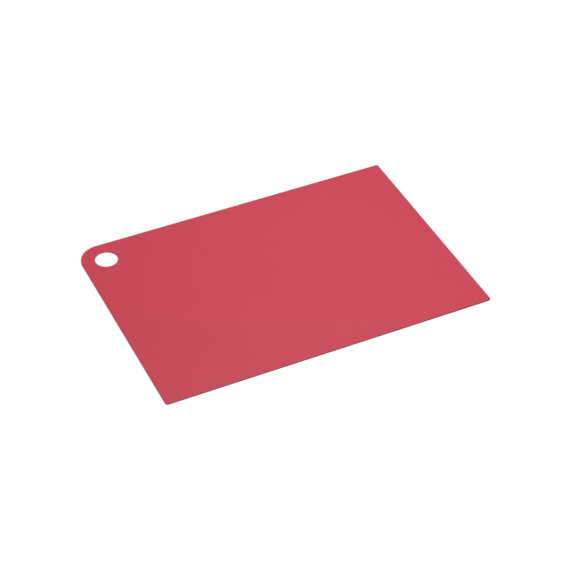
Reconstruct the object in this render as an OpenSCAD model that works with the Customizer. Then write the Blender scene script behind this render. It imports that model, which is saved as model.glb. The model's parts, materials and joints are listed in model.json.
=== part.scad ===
// Flexible cutting mat: one thin sheet of plastic with a hanging hole beside its round corner.
// The sheet lies on the XY plane with its length along X and its underside at z = 0.
// The origin is under the middle of the sheet, and the hanging hole is at -X +Y.

/* [Sheet] */
// Length of the sheet
mat_length = 360; // [200:1:500]
// Width of the sheet
mat_width = 250; // [150:1:380]
// Thickness of the sheet
mat_thickness = 1.5; // [1:0.1:4]

/* [Corners] */
// Radius of the large corner beside the hanging hole
hang_corner_radius = 24; // [12:0.5:36]
// Radius of each of the other three corners
small_corner_radius = 3; // [1.5:0.5:36]

/* [Edges] */
// Radius that softens the upper and lower rims of the sheet and of the hole
rim_radius = 0.4; // [0.1:0.05:0.45]

/* [Hanging hole] */
// Diameter of the hanging hole
hole_diameter = 24; // [10:0.5:30]
// Distance from the short edge of the sheet to the middle of the hole
hole_from_short_edge = 26.5; // [22:0.5:60]
// Distance from the long edge of the sheet to the middle of the hole
hole_from_long_edge = 25; // [22:0.5:60]

/* [Hidden] */
$fn = 96;

half_length = mat_length / 2;
half_width = mat_width / 2;
hole_radius = hole_diameter / 2;
hole_centre = [hole_from_short_edge - half_length, half_width - hole_from_long_edge];
// How far the hole's cutter runs past the faces that it opens
cutter_overrun = 1;

// Corners in turn: back right, back left with the hanging hole, front left, front right
corner_sides = [[1, 1], [-1, 1], [-1, -1], [1, -1]];
corner_radii = [small_corner_radius, hang_corner_radius, small_corner_radius, small_corner_radius];
edge_lengths = [mat_width, mat_length, mat_width, mat_length];

// Middle of the arc of one corner
function corner_centre(i) = [
    corner_sides[i].x * (half_length - corner_radii[i]),
    corner_sides[i].y * (half_width - corner_radii[i])
];

// Straight stretch of edge that leads clockwise from one corner's arc to the next one's
function straight_length(i) = edge_lengths[i] - corner_radii[i] - corner_radii[(i + 3) % 4];

// Section of the sheet from an inner line at x = 0 out to its edge, with both rims softened
module edge_section(reach) {
    square([reach - rim_radius, mat_thickness]);
    translate([0, rim_radius])
        square([reach, mat_thickness - 2 * rim_radius]);
    for (height = [rim_radius, mat_thickness - rim_radius])
        translate([reach - rim_radius, height])
            circle(rim_radius);
}

// One rounded corner of the sheet, and the straight edge that leads on clockwise from it
module corner_and_edge(i) {
    translate(corner_centre(i))
        rotate([0, 0, 90 * i]) {
            rotate_extrude(angle = 90)
                edge_section(corner_radii[i]);
            rotate([90, 0, 0])
                linear_extrude(straight_length(i))
                    edge_section(corner_radii[i]);
        }
}

// Flat middle of the sheet, between the inner lines of the four edges
module middle() {
    translate([small_corner_radius - half_length, small_corner_radius - half_width, 0])
        cube([
            mat_length - 2 * small_corner_radius,
            mat_width - small_corner_radius - hang_corner_radius,
            mat_thickness
        ]);
}

// Half section of the hanging hole's cutter: a straight wall that flares out to a soft rim
module hole_section() {
    square([hole_radius, mat_thickness]);
    for (side = [0, 1])
        translate([0, side * mat_thickness])
            mirror([0, side])
                difference() {
                    translate([0, -cutter_overrun])
                        square([hole_radius + rim_radius, cutter_overrun + rim_radius]);
                    translate([hole_radius + rim_radius, rim_radius])
                        circle(rim_radius);
                }
}

module hanging_hole() {
    translate(hole_centre)
        rotate_extrude()
            hole_section();
}

module cutting_mat() {
    color([0.80, 0.31, 0.37])
        difference() {
            union() {
                middle();
                for (i = [0:3])
                    corner_and_edge(i);
            }
            hanging_hole();
        }
}

cutting_mat();
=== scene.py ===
"""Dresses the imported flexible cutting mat: the sheet as a detailed mesh in matte polypropylene,
lying in a plain white studio that is seen from the photograph's side."""

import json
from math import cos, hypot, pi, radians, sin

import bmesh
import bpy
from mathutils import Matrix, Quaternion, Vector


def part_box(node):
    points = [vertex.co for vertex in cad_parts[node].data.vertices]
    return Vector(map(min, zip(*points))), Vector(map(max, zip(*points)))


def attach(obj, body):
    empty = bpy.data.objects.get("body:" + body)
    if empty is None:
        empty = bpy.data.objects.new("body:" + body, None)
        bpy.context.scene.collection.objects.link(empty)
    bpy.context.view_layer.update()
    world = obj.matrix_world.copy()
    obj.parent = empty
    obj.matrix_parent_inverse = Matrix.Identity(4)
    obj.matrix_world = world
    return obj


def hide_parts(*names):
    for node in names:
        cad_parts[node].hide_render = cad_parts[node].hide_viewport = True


bl_info = {
    "name": "Flexible Cutting Mat",
    "version": (1, 0, 0),
    "blender": (4, 5, 0),
    "location": "3D View > Sidebar > Cutting Mat",
    "description": "Models a flexible cutting mat and the white studio that it lies in",
    "category": "Add Mesh",
}

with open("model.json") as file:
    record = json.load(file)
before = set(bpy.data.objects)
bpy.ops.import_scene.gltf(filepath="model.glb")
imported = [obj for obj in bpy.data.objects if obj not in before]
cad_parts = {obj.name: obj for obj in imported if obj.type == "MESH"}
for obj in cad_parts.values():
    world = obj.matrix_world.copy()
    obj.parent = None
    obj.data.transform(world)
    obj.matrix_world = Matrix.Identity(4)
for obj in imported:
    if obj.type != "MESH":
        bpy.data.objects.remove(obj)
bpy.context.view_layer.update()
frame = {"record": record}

NODE = "cutting_mat"
BODY = "root"

# Sizes that the frame gives: the sheet's box, and the hanging hole's mount
sheet_low, sheet_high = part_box(NODE)
sheet_size = sheet_high - sheet_low
hole_mount = next(
    mount for mount in frame["record"]["mounts"] if mount["name"] == "hanging_hole"
)
MILLIMETRE = 0.001
hole_wall_height = hole_mount["dims"]["length_mm"] * MILLIMETRE

# Longest facet of a round corner or hole, fewest facets of a quarter turn, and facets of a soft rim
FACET = 0.0006
FEWEST_STEPS = 12
RIM_STEPS = 6
# How far a face's normal may lean for the face still to count as level or upright
LEAN = 0.0001

# The sheet's three finishes, by their place in its list of materials
GRAINED = 0
SMOOTH_RIM = 1
CUT = 2

# Sockets of the Mix node that belong to its colours, because its names repeat for each data type
MIX_COLOUR_A = 6
MIX_COLOUR_B = 7
MIX_COLOUR_RESULT = 2

WHITE = (1.0, 1.0, 1.0, 1.0)
POLYPROPYLENE_IOR = 1.49

# The pigment: size of its clouds, size of its flecks, and the flecks' share in its tone
CLOUD_SIZE = 0.09
FLECK_SIZE = 0.0015
FLECK_SHARE = 0.2
# The grain of the faces: its smoothness, and the dust on it, which is finer and lower than it is
GRAIN_SMOOTHNESS = 0.6
DUST_FINENESS = 3
DUST_HEIGHT = 0.5
# The rubbed patches of the faces: their size, and how far the roughness swings between them
RUBBED_SIZE = 0.04
RUBBED_SPREAD = 0.12
# The ripple of the soft rims: its size, its height against the grain's, and its roughness's swing
RIPPLE_SIZE = 0.003
RIPPLE_HEIGHT = 0.5
RIPPLE_SPREAD = 0.1
# The drag marks of the cut band: their width, the share of its height that noise keeps there,
# which draws it out into upright marks, their depth of tone against a cloud's, and their
# roughness's swing
DRAG_MARK_WIDTH = 0.0006
DRAG_MARK_SQUEEZE = 0.25
DRAG_MARK_DARKENING = 3
DRAG_MARK_SPREAD = 0.1

# A little over white, so that the floor round the mat comes out all white
FLOOR_GLOW = 1.05
# The floor lies a hair below the mat, and reaches in under its edges
FLOOR_GAP = 0.0001
FLOOR_LAP = 0.0006


class MatSizes(bpy.types.PropertyGroup):
    """Sizes of the sheet and of its hanging hole."""

    length: bpy.props.FloatProperty(
        name="Length", description="Length of the sheet", default=sheet_size.x, unit="LENGTH"
    )
    width: bpy.props.FloatProperty(
        name="Width", description="Width of the sheet", default=sheet_size.y, unit="LENGTH"
    )
    thickness: bpy.props.FloatProperty(
        name="Thickness", description="Thickness of the sheet", default=sheet_size.z, unit="LENGTH"
    )
    hang_corner_radius: bpy.props.FloatProperty(
        name="Large Corner",
        description="Radius of the large corner beside the hanging hole",
        default=0.024,
        unit="LENGTH",
    )
    small_corner_radius: bpy.props.FloatProperty(
        name="Small Corners",
        description="Radius of each of the other three corners",
        default=0.003,
        unit="LENGTH",
    )
    rim_radius: bpy.props.FloatProperty(
        name="Rim",
        description="Radius that softens the rims of the sheet and of the hole",
        default=(sheet_size.z - hole_wall_height) / 2,
        unit="LENGTH",
    )
    hole_radius: bpy.props.FloatProperty(
        name="Hole Radius",
        description="Radius of the hanging hole",
        default=hole_mount["dims"]["r_mm"] * MILLIMETRE,
        unit="LENGTH",
    )
    hole_centre: bpy.props.FloatVectorProperty(
        name="Hole Centre",
        description="Middle of the hanging hole, seen from above",
        default=hole_mount["pos_m"][:2],
        size=2,
        unit="LENGTH",
    )


class MatFinish(bpy.types.PropertyGroup):
    """Colour and texture of the plastic."""

    colour: bpy.props.FloatVectorProperty(
        name="Colour",
        description="Colour of the pigment, which runs right through the sheet",
        default=(0.585, 0.0485, 0.0835),
        subtype="COLOR",
    )
    clouding: bpy.props.FloatProperty(
        name="Clouding",
        description="How far the pigment's tone drifts across the sheet",
        default=0.03,
        subtype="FACTOR",
    )
    gloss: bpy.props.FloatProperty(
        name="Gloss",
        description="Strength of the reflections, where 0.5 is that of polished plastic",
        default=0.25,
        subtype="FACTOR",
    )
    roughness: bpy.props.FloatProperty(
        name="Roughness",
        description="Mean roughness of the grained faces",
        default=0.38,
        subtype="FACTOR",
    )
    rim_gloss: bpy.props.FloatProperty(
        name="Rim Gloss",
        description="Strength of the reflections on the soft rims",
        default=0.4,
        subtype="FACTOR",
    )
    rim_roughness: bpy.props.FloatProperty(
        name="Rim Roughness",
        description="Mean roughness of the soft rims, which carry no grain",
        default=0.28,
        subtype="FACTOR",
    )
    cut_gloss: bpy.props.FloatProperty(
        name="Cut Gloss",
        description="Strength of the reflections on the cut band between the two rims",
        default=0.05,
        subtype="FACTOR",
    )
    cut_roughness: bpy.props.FloatProperty(
        name="Cut Roughness",
        description="Mean roughness of the cut band between the two rims",
        default=0.7,
        subtype="FACTOR",
    )
    # Painted shade: a factor that darkens the cut band's colour, standing in for the shade that
    # falls on the upright band
    cut_painted_shade: bpy.props.FloatProperty(
        name="Cut Shade",
        description="Tone of the cut band, where 1 is as light as the faces",
        default=0.9,
        subtype="FACTOR",
    )
    grain_pitch: bpy.props.FloatProperty(
        name="Grain Pitch",
        description="Size of one grain of the moulded texture",
        default=0.0011,
        precision=5,
        unit="LENGTH",
    )
    grain_depth: bpy.props.FloatProperty(
        name="Grain Depth",
        description="Depth of the moulded texture",
        default=0.0001,
        precision=6,
        unit="LENGTH",
    )


class StudioSettings(bpy.types.PropertyGroup):
    """Floor, lamps and camera."""

    floor_size: bpy.props.FloatProperty(
        name="Floor", description="Length of each side of the floor", default=6.0, unit="LENGTH"
    )
    floor_bounce: bpy.props.FloatProperty(
        name="Floor Bounce",
        description="Share of the lamps' light that the floor sends back to the mat",
        default=0.08,
        subtype="FACTOR",
    )
    shadow_share: bpy.props.FloatProperty(
        name="Shadow",
        description="How much of the mat's shadow shows on the white floor",
        default=0.2,
        subtype="FACTOR",
    )
    shadow_reach: bpy.props.FloatProperty(
        name="Shadow Reach",
        description="Distance from the middle of the mat at which the floor is all white",
        default=0.45,
        unit="LENGTH",
    )
    ambient: bpy.props.FloatProperty(
        name="Ambient", description="Light from all round the studio", default=0.05
    )
    ambient_below: bpy.props.FloatProperty(
        name="Ambient Below",
        description="Light from under the floor, for looks at the underside",
        default=1.0,
    )
    key_power: bpy.props.FloatProperty(
        name="Key Light",
        description="Power of the softbox over the mat",
        default=8.46,
        unit="POWER",
    )
    key_place: bpy.props.FloatVectorProperty(
        name="Key Place",
        description="Middle of the softbox over the mat",
        default=(0.039, 0.049, 1.036),
        subtype="TRANSLATION",
    )
    back_power: bpy.props.FloatProperty(
        name="Back Light",
        description="Power of the softbox behind the mat, which gives it its sheen",
        default=1.45,
        unit="POWER",
    )
    back_place: bpy.props.FloatVectorProperty(
        name="Back Place",
        description="Middle of the softbox behind the mat",
        default=(0.352, 0.369, 0.919),
        subtype="TRANSLATION",
    )
    fill_power: bpy.props.FloatProperty(
        name="Fill Light",
        description="Power of the low softbox at the mat's front right",
        default=2.4,
        unit="POWER",
    )
    fill_place: bpy.props.FloatVectorProperty(
        name="Fill Place",
        description="Middle of the low softbox at the mat's front right",
        default=(0.6, -1.0, 0.6),
        subtype="TRANSLATION",
    )
    softbox_size: bpy.props.FloatProperty(
        name="Softbox", description="Side of each square softbox", default=0.5, unit="LENGTH"
    )
    lens: bpy.props.FloatProperty(
        name="Lens", description="Focal length in millimetres", default=113.67
    )
    camera_azimuth: bpy.props.FloatProperty(
        name="Camera Azimuth",
        description="Bearing of the camera: 0 looks along the mat's width",
        default=radians(-25.92),
        subtype="ANGLE",
    )
    camera_elevation: bpy.props.FloatProperty(
        name="Camera Elevation",
        description="Height of the camera above the horizon",
        default=radians(41.12),
        subtype="ANGLE",
    )
    camera_roll: bpy.props.FloatProperty(
        name="Camera Roll",
        description="Turn of the camera about its own axis",
        default=radians(0.62),
        subtype="ANGLE",
    )
    camera_distance: bpy.props.FloatProperty(
        name="Camera Distance",
        description="Distance of the camera from the point that it looks at",
        default=1.8572,
        unit="LENGTH",
    )
    camera_target: bpy.props.FloatVectorProperty(
        name="Camera Target",
        description="Point of the floor that the camera looks at",
        default=(-0.00108, -0.01457, 0.0),
        size=3,
        unit="LENGTH",
    )


class Signal:
    """One output of a node. Sums and products of signals add their Math nodes."""

    def __init__(self, shading, socket):
        self.shading = shading
        self.socket = socket

    def combine(self, operation, first, second):
        return self.shading.node("ShaderNodeMath", {"operation": operation}, {0: first, 1: second})

    def __add__(self, other):
        return self.combine("ADD", self, other)

    __radd__ = __add__

    def __sub__(self, other):
        return self.combine("SUBTRACT", self, other)

    def __rsub__(self, other):
        return self.combine("SUBTRACT", other, self)

    def __mul__(self, other):
        return self.combine("MULTIPLY", self, other)

    __rmul__ = __mul__


class Shading:
    """The nodes of one material or of the world."""

    def __init__(self, owner):
        owner.use_nodes = True
        self.tree = owner.node_tree
        self.tree.nodes.clear()

    def node(self, kind, settings=None, inputs=None, output=0):
        """Adds a node, sets it up, fills or links its sockets, and returns one of its outputs."""
        made = self.tree.nodes.new(kind)
        for name, value in (settings or {}).items():
            setattr(made, name, value)
        for name, value in (inputs or {}).items():
            if isinstance(value, Signal):
                self.tree.links.new(value.socket, made.inputs[name])
            else:
                made.inputs[name].default_value = value
        return Signal(self, made.outputs[output]) if made.outputs else None

    def noise(self, place, size, detail):
        """Noise between about 0.2 and 0.8 whose patches are about size metres across."""
        return self.node(
            "ShaderNodeTexNoise", inputs={"Vector": place, "Scale": 1 / size, "Detail": detail}
        )

    def blend_colours(self, share, first, second):
        return self.node(
            "ShaderNodeMix",
            {"data_type": "RGBA"},
            {"Factor": share, MIX_COLOUR_A: first, MIX_COLOUR_B: second},
            MIX_COLOUR_RESULT,
        )

    def seen_directly(self):
        """1 for the rays that show a surface to the camera, also through gloss or glass."""
        camera_ray = self.node("ShaderNodeLightPath", output="Is Camera Ray")
        glossy_ray = self.node("ShaderNodeLightPath", output="Is Glossy Ray")
        clear_ray = self.node("ShaderNodeLightPath", output="Is Transmission Ray")
        return self.node(
            "ShaderNodeMath",
            {"operation": "ADD", "use_clamp": True},
            {0: camera_ray + glossy_ray, 1: clear_ray},
        )


def tinted(colour, factor):
    """A colour with all its channels multiplied, as the four numbers that a socket takes."""
    return (*(channel * factor for channel in colour), 1.0)


def spread_about(mean, spread, pattern):
    """A value that swings about its mean with a noise pattern."""
    return (mean - spread / 2) + spread * pattern


def pigment(shading, place, finish, painted_shade=1.0):
    """The plastic's colour, times a painted shade where one is given (1 leaves it as it is),
    drifting softly with a faint fleck.
    """
    clouds = shading.noise(place, CLOUD_SIZE, detail=3.0)
    flecks = shading.noise(place, FLECK_SIZE, detail=1.0)
    return shading.blend_colours(
        (1 - FLECK_SHARE) * clouds + FLECK_SHARE * flecks,
        tinted(finish.colour, painted_shade * (1 - finish.clouding)),
        tinted(finish.colour, painted_shade * (1 + finish.clouding)),
    )


def polypropylene(shading, tone, gloss, roughness, height, depth):
    """Ends a material with its tone, the strength and roughness of its gloss, and its relief."""
    relief = shading.node(
        "ShaderNodeBump", inputs={"Strength": 1.0, "Distance": depth, "Height": height}
    )
    shader = shading.node(
        "ShaderNodeBsdfPrincipled",
        inputs={
            "Base Color": tone,
            "Roughness": roughness,
            "IOR": POLYPROPYLENE_IOR,
            "Specular IOR Level": gloss,
            "Normal": relief,
        },
    )
    shading.node("ShaderNodeOutputMaterial", inputs={"Surface": shader})


def grained_plastic(finish):
    """Matte polypropylene with the fine grain of the sheet's two faces."""
    material = bpy.data.materials.new("Grained polypropylene")
    shading = Shading(material)
    place = shading.node("ShaderNodeTexCoord", output="Object")
    grain = shading.node(
        "ShaderNodeTexVoronoi",
        {"feature": "SMOOTH_F1"},
        {
            "Vector": place,
            "Scale": 1 / finish.grain_pitch,
            "Smoothness": GRAIN_SMOOTHNESS,
        },
        "Distance",
    )
    dust = shading.noise(place, finish.grain_pitch / DUST_FINENESS, detail=2.0)
    rubbed = shading.noise(place, RUBBED_SIZE, detail=4.0)
    polypropylene(
        shading,
        tone=pigment(shading, place, finish),
        gloss=finish.gloss,
        roughness=spread_about(finish.roughness, RUBBED_SPREAD, rubbed),
        height=grain + DUST_HEIGHT * dust,
        depth=finish.grain_depth,
    )
    return material


def smooth_rim_plastic(finish):
    """The same polypropylene on the soft rims, which carry no grain and shine a little more."""
    material = bpy.data.materials.new("Smooth-rimmed polypropylene")
    shading = Shading(material)
    place = shading.node("ShaderNodeTexCoord", output="Object")
    ripple = shading.noise(place, RIPPLE_SIZE, detail=2.0)
    polypropylene(
        shading,
        tone=pigment(shading, place, finish),
        gloss=finish.rim_gloss,
        roughness=spread_about(finish.rim_roughness, RIPPLE_SPREAD, ripple),
        height=ripple,
        depth=finish.grain_depth * RIPPLE_HEIGHT,
    )
    return material


def cut_plastic(finish):
    """The same polypropylene on the cut band between the rims: dull, with upright drag marks, its
    colour darkened by a painted shade.
    """
    material = bpy.data.materials.new("Cut polypropylene")
    shading = Shading(material)
    place = shading.node("ShaderNodeTexCoord", output="Object")
    squeezed = shading.node(
        "ShaderNodeMapping", inputs={"Vector": place, "Scale": (1.0, 1.0, DRAG_MARK_SQUEEZE)}
    )
    drag_marks = shading.noise(squeezed, DRAG_MARK_WIDTH, detail=3.0)
    # The cut band's colour is darkened by its painted shade, and the drag marks darken it a little
    # further
    darkest_drag_mark_and_painted_shade = finish.cut_painted_shade - DRAG_MARK_DARKENING * finish.clouding
    tone = shading.blend_colours(
        drag_marks,
        pigment(shading, place, finish, finish.cut_painted_shade),
        tinted(finish.colour, darkest_drag_mark_and_painted_shade),
    )
    polypropylene(
        shading,
        tone=tone,
        gloss=finish.cut_gloss,
        roughness=spread_about(finish.cut_roughness, DRAG_MARK_SPREAD, drag_marks),
        height=drag_marks,
        depth=finish.grain_depth,
    )
    return material


def quarter_turn_steps(radius):
    """How many facets a quarter turn of this radius gets."""
    return max(FEWEST_STEPS, round(radius * pi / 2 / FACET))


def nearest_vertex(mesh, x, y):
    return min(mesh.verts, key=lambda vertex: hypot(vertex.co.x - x, vertex.co.y - y))


def add_outline(mesh, length, width, large_radius, small_radius):
    """Adds a flat rectangle's outline with four round corners, the large one at -X +Y."""
    # A grid's size is half of its side, so this starts as a unit square
    rectangle = bmesh.ops.create_grid(mesh, x_segments=1, y_segments=1, size=0.5)["verts"]
    bmesh.ops.scale(mesh, vec=(length, width, 1), verts=rectangle)
    radii = {
        (-1, 1): large_radius,
        (1, 1): small_radius,
        (1, -1): small_radius,
        (-1, -1): small_radius,
    }
    for (side_x, side_y), radius in radii.items():
        corner = nearest_vertex(mesh, side_x * length / 2, side_y * width / 2)
        bmesh.ops.bevel(
            mesh,
            geom=[corner],
            affect="VERTICES",
            offset=radius,
            offset_type="OFFSET",
            segments=quarter_turn_steps(radius),
            profile=0.5,
            material=-1,
        )
    bmesh.ops.delete(mesh, geom=mesh.faces[:], context="FACES_ONLY")


def fill_between_outlines(mesh):
    bmesh.ops.triangle_fill(mesh, use_beauty=True, edges=mesh.edges, normal=(0, 0, 1))


def is_level(face):
    """True for a face that lies flat, as the sheet's two large faces do."""
    return abs(face.normal.z) > 1 - LEAN


def is_upright(face):
    """True for a face that stands upright, as the cut band between two rims does."""
    return abs(face.normal.z) < LEAN


def finish_of(face):
    """The finish that a face of the sheet gets."""
    if is_level(face):
        return GRAINED
    if is_upright(face):
        return CUT
    return SMOOTH_RIM


def sheet_mesh(sizes):
    """The whole sheet: its outline with the hanging hole in it, thickened, with soft rims."""
    mesh = bmesh.new()
    add_outline(
        mesh, sizes.length, sizes.width, sizes.hang_corner_radius, sizes.small_corner_radius
    )
    bmesh.ops.create_circle(
        mesh,
        cap_ends=False,
        radius=sizes.hole_radius,
        segments=4 * quarter_turn_steps(sizes.hole_radius),
        matrix=Matrix.Translation((*sizes.hole_centre, 0)),
    )
    fill_between_outlines(mesh)

    raised = bmesh.ops.extrude_face_region(mesh, geom=mesh.faces[:])["geom"]
    upper_vertices = [part for part in raised if isinstance(part, bmesh.types.BMVert)]
    bmesh.ops.translate(mesh, vec=(0, 0, sizes.thickness), verts=upper_vertices)
    bmesh.ops.recalc_face_normals(mesh, faces=mesh.faces)

    rims = [edge for edge in mesh.edges if sum(is_level(face) for face in edge.link_faces) == 1]
    bmesh.ops.bevel(
        mesh,
        geom=rims,
        affect="EDGES",
        offset=sizes.rim_radius,
        offset_type="OFFSET",
        segments=RIM_STEPS,
        profile=0.5,
        loop_slide=False,
        material=-1,
    )
    return mesh


def finish_piece(mesh, name, materials):
    """Makes an object of the sheet's mesh, with its level faces flat and all others smooth."""
    for face in mesh.faces:
        face.smooth = not is_level(face)
        face.material_index = finish_of(face)
    data = bpy.data.meshes.new(name)
    mesh.to_mesh(data)
    mesh.free()
    for index in sorted(materials):
        data.materials.append(materials[index])
    piece = bpy.data.objects.new(name, data)
    bpy.context.scene.collection.objects.link(piece)
    return piece


class CUTTING_MAT_OT_add_sheet(bpy.types.Operator):
    """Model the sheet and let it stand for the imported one"""

    bl_idname = "cutting_mat.add_sheet"
    bl_label = "Add Sheet"

    def execute(self, context):
        sizes = context.scene.mat_sizes
        finish = context.scene.mat_finish
        materials = {
            GRAINED: grained_plastic(finish),
            SMOOTH_RIM: smooth_rim_plastic(finish),
            CUT: cut_plastic(finish),
        }
        sheet = finish_piece(sheet_mesh(sizes), "mat_sheet", materials)
        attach(sheet, BODY)
        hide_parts(NODE)
        return {"FINISHED"}


def place_facing(data, name, place, target, roll=0.0):
    """Puts a lamp or a camera at a place, looking at a target."""
    item = bpy.data.objects.new(name, data)
    item.rotation_mode = "QUATERNION"
    item.location = place
    facing = (target - place).to_track_quat("-Z", "Y")
    item.rotation_quaternion = facing @ Quaternion((0, 0, 1), roll)
    bpy.context.scene.collection.objects.link(item)
    return item


def floor_material(studio):
    """A white floor with a faint shadow near the mat, which sends little light back to the mat.

    From below it is see-through, so that the mat's underside can be looked at.
    """
    material = bpy.data.materials.new("Studio floor")
    shading = Shading(material)
    seen = shading.seen_directly()
    bounce = tinted(WHITE[:3], studio.floor_bounce)
    paint = shading.node(
        "ShaderNodeBsdfDiffuse", inputs={"Color": shading.blend_colours(seen, bounce, WHITE)}
    )
    glow = shading.node("ShaderNodeEmission", inputs={"Color": WHITE, "Strength": FLOOR_GLOW})
    place = shading.node("ShaderNodeTexCoord", output="Object")
    distance = shading.node(
        "ShaderNodeVectorMath", {"operation": "LENGTH"}, {0: place}, output="Value"
    )
    near_mat = shading.node(
        "ShaderNodeMapRange",
        {"interpolation_type": "SMOOTHSTEP"},
        {
            "Value": distance,
            "From Min": studio.shadow_reach / 2,
            "From Max": studio.shadow_reach,
            "To Min": studio.shadow_share,
            "To Max": 0.0,
        },
    )
    upper_side = shading.node(
        "ShaderNodeMixShader", inputs={0: (1 - near_mat) * seen, 1: paint, 2: glow}
    )
    from_below = shading.node("ShaderNodeNewGeometry", output="Backfacing")
    clear = shading.node("ShaderNodeBsdfTransparent")
    surface = shading.node(
        "ShaderNodeMixShader", inputs={0: from_below, 1: upper_side, 2: clear}
    )
    shading.node("ShaderNodeOutputMaterial", inputs={"Surface": surface})
    return material


def add_floor(studio, sizes):
    """A square floor, open under the mat, so that light from below reaches the mat's underside."""
    mesh = bmesh.new()
    add_outline(
        mesh,
        sizes.length - 2 * FLOOR_LAP,
        sizes.width - 2 * FLOOR_LAP,
        sizes.hang_corner_radius - FLOOR_LAP,
        sizes.small_corner_radius - FLOOR_LAP,
    )
    square = bmesh.ops.create_grid(
        mesh, x_segments=1, y_segments=1, size=studio.floor_size / 2
    )["verts"]
    bmesh.ops.delete(mesh, geom=square[0].link_faces[:], context="FACES_ONLY")
    fill_between_outlines(mesh)
    bmesh.ops.translate(mesh, vec=(0, 0, sheet_low.z - FLOOR_GAP), verts=mesh.verts)
    data = bpy.data.meshes.new("studio_floor")
    mesh.to_mesh(data)
    mesh.free()
    data.materials.append(floor_material(studio))
    floor = bpy.data.objects.new("studio_floor", data)
    bpy.context.scene.collection.objects.link(floor)


def surroundings(studio):
    """White surroundings that light the mat only softly, and more from under the floor."""
    world = bpy.data.worlds.new("Studio")
    bpy.context.scene.world = world
    shading = Shading(world)
    direction = shading.node("ShaderNodeTexCoord", output="Generated")
    height = shading.node("ShaderNodeSeparateXYZ", inputs={"Vector": direction}, output="Z")
    below = shading.node("ShaderNodeMath", {"operation": "LESS_THAN"}, {0: height, 1: 0.0})
    ambient = studio.ambient + (studio.ambient_below - studio.ambient) * below
    seen = shading.seen_directly()
    background = shading.node(
        "ShaderNodeBackground",
        inputs={"Color": WHITE, "Strength": seen + (1 - seen) * ambient},
    )
    shading.node("ShaderNodeOutputWorld", inputs={"Surface": background})


def light_studio(studio):
    """A main softbox over the mat, a weak one behind it and a low one at its front right."""
    softboxes = {
        "key_softbox": (studio.key_power, studio.key_place),
        "back_softbox": (studio.back_power, studio.back_place),
        "fill_softbox": (studio.fill_power, studio.fill_place),
    }
    middle_of_mat = Vector((0, 0, 0))
    for name, (power, place) in softboxes.items():
        softbox = bpy.data.lights.new(name, "AREA")
        softbox.shape = "SQUARE"
        softbox.size = studio.softbox_size
        softbox.energy = power
        place_facing(softbox, name, Vector(place), middle_of_mat)


def add_camera(studio):
    """The camera at the photograph's viewing angle."""
    data = bpy.data.cameras.new("Photograph")
    data.lens = studio.lens
    target = Vector(studio.camera_target)
    towards_camera = Vector(
        (
            sin(studio.camera_azimuth) * cos(studio.camera_elevation),
            -cos(studio.camera_azimuth) * cos(studio.camera_elevation),
            sin(studio.camera_elevation),
        )
    )
    place = target + towards_camera * studio.camera_distance
    camera = place_facing(data, "photo_camera", place, target, studio.camera_roll)
    bpy.context.scene.camera = camera


class CUTTING_MAT_OT_set_stage(bpy.types.Operator):
    """Set up the floor, the lamps and the camera"""

    bl_idname = "cutting_mat.set_stage"
    bl_label = "Set Stage"

    def execute(self, context):
        studio = context.scene.mat_studio
        add_floor(studio, context.scene.mat_sizes)
        surroundings(studio)
        light_studio(studio)
        add_camera(studio)
        context.scene.view_settings.view_transform = "Standard"
        return {"FINISHED"}


class CUTTING_MAT_PT_panel(bpy.types.Panel):
    """Lists the mat's operators and settings"""

    bl_label = "Flexible Cutting Mat"
    bl_idname = "CUTTING_MAT_PT_panel"
    bl_space_type = "VIEW_3D"
    bl_region_type = "UI"
    bl_category = "Cutting Mat"

    def draw(self, context):
        scene = context.scene
        for operator in OPERATORS:
            self.layout.operator(operator.bl_idname)
        for settings in (scene.mat_sizes, scene.mat_finish, scene.mat_studio):
            box = self.layout.box()
            for name in settings.__annotations__:
                box.prop(settings, name)


GROUPS = {"mat_sizes": MatSizes, "mat_finish": MatFinish, "mat_studio": StudioSettings}
OPERATORS = (CUTTING_MAT_OT_add_sheet, CUTTING_MAT_OT_set_stage)
CLASSES = (*GROUPS.values(), *OPERATORS, CUTTING_MAT_PT_panel)


def register():
    for cls in CLASSES:
        bpy.utils.register_class(cls)
    for name, group in GROUPS.items():
        setattr(bpy.types.Scene, name, bpy.props.PointerProperty(type=group))


def unregister():
    for name in GROUPS:
        delattr(bpy.types.Scene, name)
    for cls in reversed(CLASSES):
        bpy.utils.unregister_class(cls)


def main():
    register()
    bpy.ops.cutting_mat.set_stage()
    bpy.ops.cutting_mat.add_sheet()


if __name__ == "__main__":
    main()
